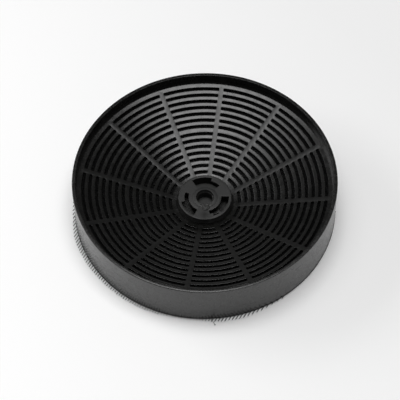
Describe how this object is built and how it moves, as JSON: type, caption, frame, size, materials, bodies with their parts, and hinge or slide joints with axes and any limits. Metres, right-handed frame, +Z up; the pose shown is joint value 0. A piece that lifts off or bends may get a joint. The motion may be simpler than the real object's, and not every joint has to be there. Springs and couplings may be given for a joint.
{
  "type": "cooker hood carbon filter",
  "caption": "Round carbon cartridge with a dished, slotted face, a bayonet hub, a net-backed base grille and a granular fill.",
  "frame": {"origin": "centre of the base face that the cartridge stands on", "axes": "+Z up along the hub's bore, out of the dished face; +X to the right and +Y away from the viewer of the picture"},
  "size_m": [0.178, 0.178, 0.034],
  "materials": {
    "housing_plastic": "black moulded polypropylene, satin, faintly grained",
    "base_plastic": "black moulded polypropylene, matte",
    "net": "fine black woven plastic net",
    "carbon": "loose activated carbon granules, dull black with small glints"
  },
  "bodies": {
    "root": {"housing": "housing_plastic", "base_grille": "base_plastic", "lower_net": "net", "upper_net": "net", "carbon_bed": "carbon"}
  },
  "joints": []
}
